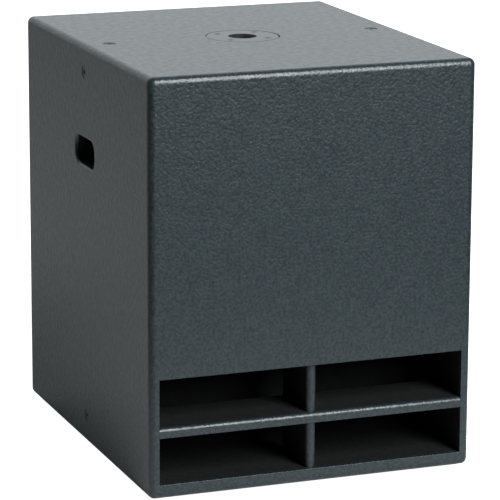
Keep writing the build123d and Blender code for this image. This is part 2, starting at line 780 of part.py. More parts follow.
def handle_cup(side):
    """Moulded cup behind a hand slot."""
    def layer(margin, corner, depth):
        """Rounded block as large as the cup's inside plus a margin."""
        size = (CUP_LENGTH + 2 * margin, cup_height() + 2 * margin)
        return extrude(Pos(0, cup_centre()) * RectangleRounded(*size, corner), depth)

    shell = layer(CUP_WALL, SLOT_CORNER + CUP_WALL, CUP_DEPTH + CUP_WALL)
    shell = shell.fillet(CUP_OUTER_BEND, shell.edges().group_by(Axis.Z)[-1])
    space = layer(0, SLOT_CORNER, CUP_DEPTH)
    space = space.fillet(CUP_INNER_BEND, space.edges().group_by(Axis.Z)[-1])
    rim = layer(CUP_WALL + CUP_RIM, CUP_RIM_CORNER, CUP_WALL)
    cup = slot_plane(side, side * INNER_X).location * (shell + rim - space)
    return cup - [small_hole(point, (-side, 0, 0)) for point in cup_screw_points(side)]


# Pole cup

def pole_screw_points():
    """Places of the pole cup's four screws."""
    return mirrored_pairs(POLE_SCREW_X, POLE_SCREW_Y)


def pole_cup():
    """Flush flange with a blind, bell-mouthed bore below it."""
    outer = POLE_BORE + POLE_WALL
    floor = -POLE_BORE_DEPTH
    shoulder = POLE_FLANGE_RADIUS - POLE_FLANGE_CHAMFER
    outline = Polyline(
        (POLE_BORE + POLE_LEAD_IN, 0), (shoulder, 0), (POLE_FLANGE_RADIUS, -POLE_FLANGE_CHAMFER),
        (POLE_FLANGE_RADIUS, -POLE_FLANGE_THICK), (outer, -POLE_FLANGE_THICK),
        (outer, floor - POLE_FLOOR), (0, floor - POLE_FLOOR), (0, floor),
        (POLE_BORE, floor), (POLE_BORE, -POLE_LEAD_IN), close=True,
    )
    cup = revolve(Plane.XZ * make_face(outline), Axis.Z)
    hole = sunk_shape(POLE_SCREW_HEAD + 0.5, POLE_SCREW_SHANK + FIT_GAP, 2 * POLE_FLANGE_THICK)
    holes = [Pos(x, y, 0) * hole for x, y in pole_screw_points()]
    return Pos(0, 0, TOP) * (cup - holes)


def pole_cup_gasket():
    """Thin gasket under the pole cup's flange."""
    top = TOP - POLE_FLANGE_THICK
    disc = bore((0, 0, top), DOWN, POLE_FLANGE_RADIUS, POLE_GASKET)
    disc -= bore((0, 0, top), DOWN, POLE_BORE + POLE_WALL + POLE_FLANGE_GAP, POLE_GASKET)
    radius = POLE_SCREW_SHANK + FIT_GAP
    return disc - [bore((x, y, top), DOWN, radius, POLE_GASKET) for x, y in pole_screw_points()]


def pole_cup_screws():
    """Countersunk screws through the pole cup's flange."""
    screw = sunk_shape(POLE_SCREW_HEAD, POLE_SCREW_SHANK, POLE_SCREW_LENGTH)
    screw -= cross_recess(POLE_SCREW_KEY, POLE_SCREW_KEY, 0)
    return group(Pos(x, y, TOP - POLE_SCREW_SINK) * screw for x, y in pole_screw_points())


# Rigging brackets

def bracket_points(side, end):
    """Screw places on a bracket's two legs; end is 1 at the top and -1 at the bottom."""
    board = (CEILING if end > 0 else FLOOR) - end * BRACKET_THICK
    wall = side * (INNER_X - BRACKET_THICK)
    height = BOTTOM + RIGGING_SIDE_HEIGHTS[1 if end > 0 else 0]
    ys = (-BRACKET_SCREW_Y, BRACKET_SCREW_Y)
    return {
        "board": [(side * RIGGING_TOP_X, y, board) for y in ys],
        "wall": [(wall, y, height) for y in ys],
    }


def rigging_bracket(side, end):
    """Steel corner bracket with a weld nut on each leg."""
    corner_z = CEILING if end > 0 else FLOOR
    y = (-BRACKET_WIDTH / 2, BRACKET_WIDTH / 2)
    x_far = side * (INNER_X - BRACKET_LEG)
    x_wall = side * INNER_X
    z_far = corner_z - end * BRACKET_LEG
    board = block(sorted((x_far, x_wall)), y, sorted((corner_z, corner_z - end * BRACKET_THICK)))
    wall = block(sorted((x_wall - side * BRACKET_THICK, x_wall)), y, sorted((corner_z, z_far)))
    height = BOTTOM + RIGGING_SIDE_HEIGHTS[1 if end > 0 else 0]
    reach = BRACKET_THICK + WELD_NUT_HEIGHT
    inward = (-side, 0, 0)
    downward = (0, 0, -end)
    bracket = board + wall
    bracket += bore((side * RIGGING_TOP_X, 0, corner_z), downward, WELD_NUT_RADIUS, reach)
    bracket += bore((x_wall, 0, height), inward, WELD_NUT_RADIUS, reach)
    cuts = [
        bore((side * RIGGING_TOP_X, 0, corner_z), downward, RIGGING_SHANK + FIT_GAP, reach),
        bore((x_wall, 0, height), inward, RIGGING_SHANK + FIT_GAP, reach),
    ]
    points = bracket_points(side, end)
    cuts += [small_hole(point, downward) for point in points["board"]]
    cuts += [small_hole(point, inward) for point in points["wall"]]
    return bracket - cuts


def rigging_blanking_screws():
    """Flush screws that close the rigging points until eyebolts are fitted."""
    screw = sunk_shape(RIGGING_HEAD, RIGGING_SHANK, RIGGING_SCREW_LENGTH)
    screw -= extrude(RegularPolygon(RIGGING_KEY, 6), -RIGGING_KEY_DEPTH)
    sunk = Pos(0, 0, -RIGGING_RECESS) * screw
    return group(facing(point, way) * sunk for point, way in rigging_points())


# Connector dish and sockets, built facing +Z and turned to face the rear

DISH_FACE = Plane(origin=(0, REAR_FACE, DISH_Z), x_dir=(-1, 0, 0), z_dir=REARWARD)
DISH_FLOOR_LEVEL = DISH_FLOOR - REAR_FACE


def dish_screw_points():
    """Screw places round the dish's rim, as (x, z) on the rear panel."""
    half_x = DISH_WIDTH / 2 + DISH_RIM - DISH_SCREW_INSET
    half_z = DISH_TALL / 2 + DISH_RIM - DISH_SCREW_INSET
    corners = [(x, DISH_Z + z) for x, z in mirrored_pairs(half_x, half_z)]
    return corners + [(0, DISH_Z - half_z), (0, DISH_Z + half_z)]


def dish_holes():
    """Holes for the dish's screws, from the rim's face forwards."""
    face = REAR_FACE + DISH_GASKET + DISH_WALL
    return [small_hole((x, face, z), REARWARD) for x, z in dish_screw_points()]


def connector_dish():
    """Moulded dish that sets the sockets back from the rear panel."""
    rim_size = (DISH_WIDTH + 2 * DISH_RIM, DISH_TALL + 2 * DISH_RIM)
    wall_size = (DISH_WIDTH + 2 * DISH_WALL, DISH_TALL + 2 * DISH_WALL)
    rim = Pos(0, 0, DISH_GASKET) * extrude(RectangleRounded(*rim_size, DISH_CORNER), DISH_WALL)
    rim = rim.fillet(DISH_RIM_ROUND, rim.edges().group_by(Axis.Z)[-1])
    low = DISH_FLOOR_LEVEL - DISH_WALL
    body = Pos(0, 0, low) * extrude(RectangleRounded(*wall_size, DISH_CORNER), DISH_GASKET - low)
    space = extrude(RectangleRounded(DISH_WIDTH, DISH_TALL, DISH_INNER_CORNER), DISH_DEPTH)
    dish = rim + body - Pos(0, 0, DISH_FLOOR_LEVEL) * space
    for x in socket_places():
        dish -= bore((x, 0, DISH_FLOOR_LEVEL), DOWN, SOCKET_RADIUS + 2 * FIT_GAP, DISH_WALL)
        for dx, dy in socket_screw_offsets():
            dish -= bore((x + dx, dy, DISH_FLOOR_LEVEL), DOWN, SOCKET_SHANK + FIT_GAP, DISH_WALL)
    return DISH_FACE.location * dish - dish_holes()


def dish_gasket():
    """Thin gasket under the dish's rim."""
    rim_size = (DISH_WIDTH + 2 * DISH_RIM, DISH_TALL + 2 * DISH_RIM)
    wall_size = (DISH_WIDTH + 2 * DISH_WALL, DISH_TALL + 2 * DISH_WALL)
    rim = extrude(RectangleRounded(*rim_size, DISH_CORNER), DISH_GASKET)
    rim -= extrude(RectangleRounded(*wall_size, DISH_CORNER), DISH_GASKET)
    return DISH_FACE.location * rim - dish_holes()


def socket_places():
    """Sideways places of the two sockets on the dish."""
    return (-SOCKET_SPACING / 2, SOCKET_SPACING / 2)


def socket_screw_offsets():
    """The two screw places of a socket, on opposite corners of its flange."""
    return ((-SOCKET_SCREW_X, SOCKET_SCREW_Y), (SOCKET_SCREW_X, -SOCKET_SCREW_Y))


def speaker_socket(x):
    """Four-pole speaker socket: square flange, keyed ring and centre post."""
    flange = extrude(RectangleRounded(*SOCKET_FLANGE, SOCKET_FLANGE_CORNER), SOCKET_FLANGE_THICK)
    mouth = SOCKET_FLANGE_THICK + SOCKET_RING
    barrel = Pos(0, 0, (mouth - SOCKET_BEHIND) / 2) * Cylinder(SOCKET_RADIUS, mouth + SOCKET_BEHIND)
    cavity_floor = mouth - SOCKET_CAVITY_DEPTH
    cavity = bore((0, 0, mouth), DOWN, SOCKET_CAVITY, SOCKET_CAVITY_DEPTH)
    post = bore((0, 0, cavity_floor), UP, SOCKET_POST, SOCKET_CAVITY_DEPTH - SOCKET_POST_DROP)
    keyway = Box(KEYWAY_DEPTH, KEYWAY_WIDTH, SOCKET_CAVITY_DEPTH)
    middle = (mouth + cavity_floor) / 2
    keyways = [Pos(side * KEYWAY_RADIUS, 0, middle) * keyway for side in (-1, 1)]
    socket = flange + barrel - cavity - keyways + post
    socket -= bore((0, 0, mouth), DOWN, SOCKET_POST_BORE, SOCKET_POST_BORE_DEPTH)
    for dx, dy in socket_screw_offsets():
        socket -= bore((dx, dy, 0), UP, SOCKET_SHANK + FIT_GAP, SOCKET_FLANGE_THICK)
    return DISH_FACE.location * Pos(x, 0, DISH_FLOOR_LEVEL) * socket


def socket_screws():
    """Small screws that hold the sockets to the dish."""
    screw = pan_screw(*SOCKET_SCREW)
    level = DISH_FLOOR_LEVEL + SOCKET_FLANGE_THICK
    return group(
        DISH_FACE.location * Pos(x + dx, dy, level) * screw
        for x in socket_places()
        for dx, dy in socket_screw_offsets()
    )


def socket_contacts():
    """Solder tabs behind each socket, one for each pole."""
    level = DISH_FLOOR_LEVEL - SOCKET_BEHIND - CONTACT_LENGTH / 2
    tab = Box(CONTACT_THICK, CONTACT_WIDTH, CONTACT_LENGTH)
    return group(
        DISH_FACE.location * Pos(x + dx, dy, level) * tab
        for x in socket_places()
        for dx, dy in mirrored_pairs(CONTACT_X, CONTACT_Y)
    )


# Cable from the input socket to the driver, clipped to the floor of the rear chamber

def cable_line():
    """Corners of the cable's route."""
    x = SOCKET_SPACING / 2
    start = DISH_FLOOR - SOCKET_BEHIND - CONTACT_LENGTH - CABLE_END_GAP
    turn = start - CABLE_BEND - CABLE_STRAIGHT
    z = FLOOR + CABLE_LIFT + CABLE_RADIUS
    block_end = Vector(*on_arm(-BLOCK_LENGTH / 2, BLOCK_THICK))
    rise_y = BAFFLE_BACK + DRIVER_GASKET + block_end.Y
    end_z = DRIVER_Z - block_end.X - CABLE_END_GAP
    return [(x, start, DISH_Z), (x, turn, DISH_Z), (x, turn, z), (0, rise_y, z), (0, rise_y, end_z)]


def speaker_cable():
    """Round cable along the rear chamber's floor."""
    path = FilletPolyline(*cable_line(), radius=CABLE_BEND)
    return sweep(Plane(origin=path @ 0, z_dir=path % 0) * Circle(CABLE_RADIUS), path)


def cable_clips():
    """Saddle clips over the cable's run along the floor."""
    low, high = [Vector(*point) for point in cable_line()[2:4]]
    run = (high - low).normalized()
    outer = CABLE_RADIUS + CLIP_WALL
    placed = []
    for share in CLIP_SHARES:
        centre = low + (high - low) * share
        arch = Cylinder(outer, CLIP_LENGTH) + Pos(0, -outer / 2, 0) * Box(2 * outer, outer, CLIP_LENGTH)
        foot = Pos(0, CLIP_WALL / 2 - CABLE_RADIUS - CABLE_LIFT, 0) * Box(4 * outer, CLIP_WALL, CLIP_LENGTH)
        clip = arch + foot - Cylinder(CABLE_RADIUS + FIT_GAP, CLIP_LENGTH)
        clip -= Pos(0, -2 * outer - CABLE_RADIUS - CABLE_LIFT, 0) * Box(6 * outer, 4 * outer, 2 * CLIP_LENGTH)
        side_way = run.cross(Vector(*UP))
        placed.append(Plane(origin=centre, x_dir=side_way, z_dir=run * -1).location * clip)
    return group(placed)


# Soft damping pads in the rear chamber

def wadding(x, y, z):
    """Plain rounded pad of polyester wadding."""
    pad = block(x, y, z)
    return fillet(pad.edges(), WADDING_CORNER)


def wadding_side(side):
    """Pad on a side wall behind the hand slot's cup."""
    x = sorted((side * INNER_X, side * (INNER_X - WADDING_THICK)))
    return wadding(x, WADDING_SIDE_Y, WADDING_SIDE_Z)


def wadding_rear():
    """Pad on the inside of the rear panel, above the dish."""
    return wadding(WADDING_REAR_X, (REAR_INNER - WADDING_THICK, REAR_INNER), WADDING_REAR_Z)


# Feet

def foot_points():
    """Places of the feet under the cabinet."""
    return mirrored_pairs(WIDTH / 2 - FOOT_INSET_X, DEPTH / 2 - FOOT_INSET_Y)


def rubber_foot(x, y):
    """Tapered rubber foot with a pocket for its screw."""
    hole = FOOT_SHANK + FIT_GAP
    outline = Polyline(
        (hole, FOOT_HEIGHT), (hole, FOOT_HEIGHT / 2), (FOOT_SCREW_POCKET, FOOT_HEIGHT / 2),
        (FOOT_SCREW_POCKET, 0), (FOOT_RADIUS - FOOT_TAPER, 0), (FOOT_RADIUS, FOOT_HEIGHT), close=True,
    )
    return Pos(x, y, 0) * revolve(Plane.XZ * make_face(outline), Axis.Z)


def foot_screws():
    """Screws up through the feet."""
    screw = pan_screw(*FOOT_SCREW)
    return group(facing((x, y, FOOT_HEIGHT / 2), DOWN) * screw for x, y in foot_points())


# Small wood screws, all alike

def small_screw_places():
    """Every small screw's place under its head, and the way its head faces."""
    face = REAR_FACE + DISH_GASKET + DISH_WALL
    places = [((x, face, z), REARWARD) for x, z in dish_screw_points()]
    for side in (-1, 1):
        inward = (-side, 0, 0)
        places += [(point, inward) for point in cup_screw_points(side)]
        for end in (-1, 1):
            points = bracket_points(side, end)
            places += [(point, (0, 0, -end)) for point in points["board"]]
            places += [(point, inward) for point in points["wall"]]
    return places


def wood_screws():
    """Screws of the dish, the hand slots' cups and the rigging brackets."""
    return group(facing(point, way) * pan_screw(*SMALL_SCREW) for point, way in small_screw_places())


# Every node of the cabinet

def shell_nodes():
    """Wooden box, ports and battens."""
    inside = INNER_X - BATTEN
    upright = (FLOOR + BATTEN, CEILING - BATTEN)
    return {
        "side_panel_left": side_panel(-1),
        "side_panel_right": side_panel(1),
        "top_panel": top_panel(),
        "bottom_panel": bottom_panel(),
        "front_panel": front_panel(),
        "rear_panel": rear_panel(),
        "driver_baffle": driver_baffle(),
        "port_shelf": port_shelf(),
        "port_divider_lower": port_divider(FLOOR, SHELF_Z),
        "port_divider_upper": port_divider(SHELF_Z + BOARD_THICK, OPENING_Z),
        "port_roof": port_roof(),
        "rear_batten_top": batten(INSIDE, (CEILING - BATTEN, CEILING)),
        "rear_batten_bottom": batten(INSIDE, (FLOOR, FLOOR + BATTEN)),
        "rear_batten_left": batten((-INNER_X, -inside), upright),
        "rear_batten_right": batten((inside, INNER_X), upright),
        "rear_gasket": rear_gasket(),
        "rear_panel_screws": rear_panel_screws(),
    }


def driver_nodes():
    """The driver, moved from its own frame to its place on the baffle."""
    pieces = {
        "driver_gasket": driver_gasket(),
        "basket": basket(),
        "top_plate": top_plate(),
        "magnet": magnet(),
        "pole_yoke": pole_yoke(),
        "voice_coil_former": voice_coil_former(),
        "voice_coil_winding": voice_coil_winding(),
        "cone": cone(),
        "dust_cap": dust_cap(),
        "surround": surround(),
        "spider": spider(),
        "terminal_block": terminal_block(),
    }
    nodes = {name: DRIVER_PLACE * piece for name, piece in pieces.items()}
    nodes["terminal_tabs"] = terminal_tabs()
    nodes["tinsel_leads"] = tinsel_leads()
    nodes["driver_bolts"] = driver_bolts()
    nodes["driver_tee_nuts"] = driver_tee_nuts()
    return nodes


def fitting_nodes():
    """Handles, pole cup, rigging, connectors, cable, pads and feet."""
    nodes = {
        "handle_cup_left": handle_cup(-1),
        "handle_cup_right": handle_cup(1),
        "pole_cup": pole_cup(),
        "pole_cup_gasket": pole_cup_gasket(),
        "pole_cup_screws": pole_cup_screws(),
        "rigging_blanking_screws": rigging_blanking_screws(),
        "connector_dish": connector_dish(),
        "dish_gasket": dish_gasket(),
        "input_socket": speaker_socket(socket_places()[0]),
        "link_socket": speaker_socket(socket_places()[1]),
        "socket_screws": socket_screws(),
        "socket_contacts": socket_contacts(),
        "speaker_cable": speaker_cable(),
        "cable_clips": cable_clips(),
        "wadding_left": wadding_side(-1),
        "wadding_right": wadding_side(1),
        "wadding_rear": wadding_rear(),
        "foot_screws": foot_screws(),
        "wood_screws": wood_screws(),
    }
    for side, side_name in ((-1, "left"), (1, "right")):
        for end, end_name in ((-1, "bottom"), (1, "top")):
            nodes[f"rigging_bracket_{end_name}_{side_name}"] = rigging_bracket(side, end)
    for x, y in foot_points():
        row = "front" if y < 0 else "rear"
        nodes[f"foot_{row}_{'left' if x < 0 else 'right'}"] = rubber_foot(x, y)
    return nodes


os.makedirs("parts", exist_ok=True)
for node_name, node_shape in {**shell_nodes(), **driver_nodes(), **fitting_nodes()}.items():
    export_step(node_shape, f"parts/{node_name}.step")
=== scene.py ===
import itertools
import json
import math

import bmesh
import bpy
import numpy as np
from mathutils import Matrix, Vector, noise


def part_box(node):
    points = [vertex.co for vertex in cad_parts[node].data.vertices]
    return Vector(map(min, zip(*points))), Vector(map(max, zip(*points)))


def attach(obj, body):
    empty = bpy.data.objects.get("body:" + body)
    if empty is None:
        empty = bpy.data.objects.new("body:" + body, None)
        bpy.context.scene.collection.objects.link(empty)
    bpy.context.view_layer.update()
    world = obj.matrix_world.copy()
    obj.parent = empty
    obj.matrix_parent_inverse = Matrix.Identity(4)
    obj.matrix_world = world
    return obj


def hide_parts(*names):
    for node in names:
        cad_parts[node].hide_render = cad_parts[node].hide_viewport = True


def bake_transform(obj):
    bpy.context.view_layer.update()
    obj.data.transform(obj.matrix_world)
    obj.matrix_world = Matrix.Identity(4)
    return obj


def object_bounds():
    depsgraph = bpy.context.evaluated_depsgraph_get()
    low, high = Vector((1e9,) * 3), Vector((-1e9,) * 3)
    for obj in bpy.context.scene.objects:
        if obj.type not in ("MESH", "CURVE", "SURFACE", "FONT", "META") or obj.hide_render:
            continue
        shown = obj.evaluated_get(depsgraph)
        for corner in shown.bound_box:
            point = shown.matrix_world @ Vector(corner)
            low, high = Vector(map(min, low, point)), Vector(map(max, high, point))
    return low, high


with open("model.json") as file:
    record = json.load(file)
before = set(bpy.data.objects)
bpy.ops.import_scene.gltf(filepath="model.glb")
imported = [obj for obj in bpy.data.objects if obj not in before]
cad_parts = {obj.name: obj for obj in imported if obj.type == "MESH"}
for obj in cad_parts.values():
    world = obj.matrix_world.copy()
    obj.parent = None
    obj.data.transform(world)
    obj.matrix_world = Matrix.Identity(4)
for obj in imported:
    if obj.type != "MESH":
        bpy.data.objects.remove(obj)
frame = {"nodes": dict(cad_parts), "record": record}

# The subwoofer cabinet's looks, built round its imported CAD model. Everything is in metres.

CAD_BOX = [list(corner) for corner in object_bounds()]
NODES = frame["nodes"]
MM = 0.001


def low(node):
    """Lowest corner of a CAD node."""
    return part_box(node)[0]


def high(node):
    """Highest corner of a CAD node."""
    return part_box(node)[1]


FRONT = CAD_BOX[0][1]
BACK = CAD_BOX[1][1]
TOP = CAD_BOX[1][2]
FLOOR = high("bottom_panel").z
CEILING = low("top_panel").z
INNER_X = high("top_panel").x
BORE_MOUTH = 21.75 * MM  # radius of the pole cup's flared mouth


# ---------------------------------------------------------------- camera, light and floor

AZIMUTH = math.radians(-20.9)
ELEVATION = math.radians(13.03)
ROLL = math.radians(0.26)
DISTANCE = 4.459
TARGET = Vector((0.0136, 0.0, 0.3276))
LENS = 210.4
SHIFT_Y = -0.05
SENSOR_WIDTH = 36
CLIP_END = 100


def direction(azimuth, elevation):
    """Direction from the cabinet, with the azimuth measured from its front."""
    return Vector((
        math.sin(azimuth) * math.cos(elevation),
        -math.cos(azimuth) * math.cos(elevation),
        math.sin(elevation),
    ))


def add_camera():
    """Camera at the photograph's angle: three-quarter left, a little above."""
    back = direction(AZIMUTH, ELEVATION)
    level = Vector((math.cos(AZIMUTH), math.sin(AZIMUTH), 0))
    upright = back.cross(level)
    right = math.cos(ROLL) * level + math.sin(ROLL) * upright
    up = math.cos(ROLL) * upright - math.sin(ROLL) * level
    camera = bpy.data.objects.new("camera", bpy.data.cameras.new("camera"))
    bpy.context.scene.collection.objects.link(camera)
    turn = Matrix((right, up, back)).transposed().to_4x4()
    camera.matrix_world = Matrix.Translation(TARGET + back * DISTANCE) @ turn
    camera.data.sensor_width = SENSOR_WIDTH
    camera.data.lens = LENS
    camera.data.shift_y = SHIFT_Y
    camera.data.clip_end = CLIP_END
    bpy.context.scene.camera = camera


KEY_AZIMUTH = math.radians(18)
KEY_ELEVATION = math.radians(31)
KEY_DISTANCE = 5.0
KEY_SIZE = (1.85, 3.4)
KEY_WATTS = 410
KEY_COLOUR = (0.95, 0.99, 1.0)


def add_key():
    """Rectangular softbox, high on the right, that faces the cabinet's middle."""
    away = direction(KEY_AZIMUTH, KEY_ELEVATION)
    light = bpy.data.lights.new("key", "AREA")
    light.shape = "RECTANGLE"
    light.size, light.size_y = KEY_SIZE
    light.energy = KEY_WATTS
    light.color = KEY_COLOUR
    lamp = bpy.data.objects.new("key", light)
    bpy.context.scene.collection.objects.link(lamp)
    lamp.location = Vector((0, 0, TOP / 2)) + away * KEY_DISTANCE
    lamp.rotation_mode = "QUATERNION"
    lamp.rotation_quaternion = away.to_track_quat("Z", "Y")
    lamp.visible_camera = False


def new_node(tree, kind, **settings):
    """Adds a shader node and sets its own properties."""
    node = tree.nodes.new(kind)
    for name, value in settings.items():
        setattr(node, name, value)
    return node


def ramp_between(tree, source, start, end, least=0.0):
    """A value that rises smoothly from least to 1 while the source goes from start to end."""
    node = new_node(tree, "ShaderNodeMapRange", interpolation_type="SMOOTHSTEP")
    tree.links.new(source, node.inputs["Value"])
    node.inputs["From Min"].default_value = start
    node.inputs["From Max"].default_value = end
    node.inputs["To Min"].default_value = least
    return node.outputs["Result"]


def times(tree, first, second):
    """Product of two sockets, or of a socket and a number."""
    node = new_node(tree, "ShaderNodeMath", operation="MULTIPLY")
    tree.links.new(first, node.inputs[0])
    if isinstance(second, float):
        node.inputs[1].default_value = second
    else:
        tree.links.new(second, node.inputs[1])
    return node.outputs[0]


BACKDROP_LEVEL = 1.3
BACKDROP_LEFT_SHARE = 0.5
BACKDROP_COLOUR = (0.92, 0.98, 1.0)
BACKDROP_BEHIND = (0.1, 0.5)
BACKDROP_BELOW = (0.93, 0.80)
BACKDROP_ACROSS = (-0.45, 0.25)
ROOM_LEVEL = 0.02


def add_world():
    """Studio surroundings: a bright backdrop behind the cabinet, darkness overhead and in front."""
    world = bpy.data.worlds.new("studio")
    bpy.context.scene.world = world
    world.use_nodes = True
    tree = world.node_tree
    tree.nodes.clear()
    place = tree.nodes.new("ShaderNodeTexCoord")
    axes = tree.nodes.new("ShaderNodeSeparateXYZ")
    tree.links.new(place.outputs["Generated"], axes.inputs[0])
    behind = ramp_between(tree, axes.outputs["Y"], *BACKDROP_BEHIND)
    below_top = ramp_between(tree, axes.outputs["Z"], *BACKDROP_BELOW)
    across = ramp_between(tree, axes.outputs["X"], *BACKDROP_ACROSS, BACKDROP_LEFT_SHARE)
    wall = times(tree, times(tree, behind, below_top), across)
    glow = new_node(tree, "ShaderNodeMath", operation="MULTIPLY_ADD")
    tree.links.new(wall, glow.inputs[0])
    glow.inputs[1].default_value = BACKDROP_LEVEL
    glow.inputs[2].default_value = ROOM_LEVEL
    light = tree.nodes.new("ShaderNodeBackground")
    light.inputs["Color"].default_value = (*BACKDROP_COLOUR, 1)
    tree.links.new(glow.outputs[0], light.inputs["Strength"])
    out = tree.nodes.new("ShaderNodeOutputWorld")
    tree.links.new(light.outputs[0], out.inputs[0])


FLOOR_RADIUS = 40
FLOOR_CORNERS = 96
FLOOR_ROUGHNESS = 0.8
FLOOR_SEEN = 0.85
FLOOR_LIFT = 1.0
BOUNCE_FAR = 0.03
BOUNCE_NEAR = 0.8
BOUNCE_BEHIND = 0.78
NEAR_RADIUS = (1.25, 0.6)
BEHIND_Y = (-0.2, 0.5)


def add_floor():
    """Plain pale floor. It throws light back from close by and from behind the cabinet."""
    mesh = bpy.data.meshes.new("floor")
    shape = bmesh.new()
    bmesh.ops.create_circle(shape, cap_ends=True, segments=FLOOR_CORNERS, radius=FLOOR_RADIUS)
    shape.to_mesh(mesh)
    shape.free()
    floor = bpy.data.objects.new("floor", mesh)
    bpy.context.scene.collection.objects.link(floor)
    material = bpy.data.materials.new("floor")
    material.use_nodes = True
    tree = material.node_tree
    shader = tree.nodes["Principled BSDF"]
    place = tree.nodes.new("ShaderNodeTexCoord")
    axes = tree.nodes.new("ShaderNodeSeparateXYZ")
    tree.links.new(place.outputs["Object"], axes.inputs[0])
    distance = new_node(tree, "ShaderNodeVectorMath", operation="LENGTH")
    tree.links.new(place.outputs["Object"], distance.inputs[0])
    near = times(tree, ramp_between(tree, distance.outputs["Value"], *NEAR_RADIUS), BOUNCE_NEAR)
    behind = times(tree, ramp_between(tree, axes.outputs["Y"], *BEHIND_Y), BOUNCE_BEHIND)
    either = new_node(tree, "ShaderNodeMath", operation="MAXIMUM")
    tree.links.new(near, either.inputs[0])
    tree.links.new(behind, either.inputs[1])
    bounce = new_node(tree, "ShaderNodeMath", operation="MAXIMUM")
    tree.links.new(either.outputs[0], bounce.inputs[0])
    bounce.inputs[1].default_value = BOUNCE_FAR
    path = tree.nodes.new("ShaderNodeLightPath")
    seen = path.outputs["Is Camera Ray"]
    albedo = new_node(tree, "ShaderNodeMapRange")
    tree.links.new(seen, albedo.inputs["Value"])
    tree.links.new(bounce.outputs[0], albedo.inputs["To Min"])
    albedo.inputs["To Max"].default_value = FLOOR_SEEN
    tree.links.new(albedo.outputs["Result"], shader.inputs["Base Color"])
    tree.links.new(times(tree, seen, FLOOR_LIFT), shader.inputs["Emission Strength"])
    shader.inputs["Emission Color"].default_value = (1, 1, 1, 1)
    shader.inputs["Roughness"].default_value = FLOOR_ROUGHNESS
    mesh.materials.append(material)


add_camera()
add_world()
add_key()
add_floor()
bpy.context.scene.view_settings.view_transform = "Standard"


# ---------------------------------------------------------------- material building blocks

class Look:
    """A procedural material, built up from a Principled shader."""

    def __init__(self, name, colour, roughness, metallic=0.0):
        self.material = bpy.data.materials.new(name)
        self.material.use_nodes = True
        self.tree = self.material.node_tree
        self.shader = self.tree.nodes["Principled BSDF"]
        self.shader.inputs["Base Color"].default_value = (*colour, 1)
        self.shader.inputs["Roughness"].default_value = roughness
        self.shader.inputs["Metallic"].default_value = metallic
        place = self.tree.nodes.new("ShaderNodeTexCoord")
        self.place = place.outputs["Object"]

    def link(self, source, target):
        self.tree.links.new(source, target)

    def put(self, value, target):
        """Feeds a socket from another socket or a plain value."""
        if isinstance(value, bpy.types.NodeSocket):
            self.link(value, target)
        else:
            target.default_value = value

    def stretched(self, x, y, z):
        """Object coordinates scaled along each axis."""
        node = new_node(self.tree, "ShaderNodeVectorMath", operation="MULTIPLY")
        self.link(self.place, node.inputs[0])
        node.inputs[1].default_value = (x, y, z)
        return node.outputs[0]

    def noise(self, scale, detail=2.0, rough=0.5, place=None):
        """Cloudy noise between 0 and 1."""
        node = self.tree.nodes.new("ShaderNodeTexNoise")
        self.link(place or self.place, node.inputs["Vector"])
        node.inputs["Scale"].default_value = scale
        node.inputs["Detail"].default_value = detail
        node.inputs["Roughness"].default_value = rough
        return node.outputs["Fac"]

    def maths(self, operation, a, b=0.0, c=0.0):
        """Result of one calculation on sockets or plain numbers."""
        node = new_node(self.tree, "ShaderNodeMath", operation=operation)
        self.put(a, node.inputs[0])
        self.put(b, node.inputs[1])
        self.put(c, node.inputs[2])
        return node.outputs[0]

    def spread(self, value, from_low, from_high, to_low=0.0, to_high=1.0):
        """Maps a value from one range to another, smoothly and with clamped ends."""
        node = new_node(self.tree, "ShaderNodeMapRange", interpolation_type="SMOOTHSTEP")
        self.put(value, node.inputs["Value"])
        node.inputs["From Min"].default_value = from_low
        node.inputs["From Max"].default_value = from_high
        node.inputs["To Min"].default_value = to_low
        node.inputs["To Max"].default_value = to_high
        return node.outputs["Result"]

    def axes(self):
        """Object coordinates as three values."""
        node = self.tree.nodes.new("ShaderNodeSeparateXYZ")
        self.link(self.place, node.inputs[0])
        return node.outputs[0], node.outputs[1], node.outputs[2]

    def blended(self, factor, first, second):
        """Colour between two colours."""
        node = new_node(self.tree, "ShaderNodeMix", data_type="RGBA")
        self.put(factor, node.inputs[0])
        for value, target in ((first, node.inputs[6]), (second, node.inputs[7])):
            self.put((*value, 1) if isinstance(value, tuple) else value, target)
        return node.outputs[2]

    def colour(self, value):
        self.put(value, self.shader.inputs["Base Color"])

    def roughness(self, value):
        self.put(value, self.shader.inputs["Roughness"])

    def bump(self, height, depth, strength=1.0):
        """Adds relief of a depth in metres from a height between 0 and 1."""
        node = self.tree.nodes.new("ShaderNodeBump")
        node.inputs["Distance"].default_value = depth
        node.inputs["Strength"].default_value = strength
        self.link(height, node.inputs["Height"])
        before = self.shader.inputs["Normal"].links
        if before:
            self.link(before[0].from_socket, node.inputs["Normal"])
        self.link(node.outputs[0], self.shader.inputs["Normal"])


# ---------------------------------------------------------------- materials

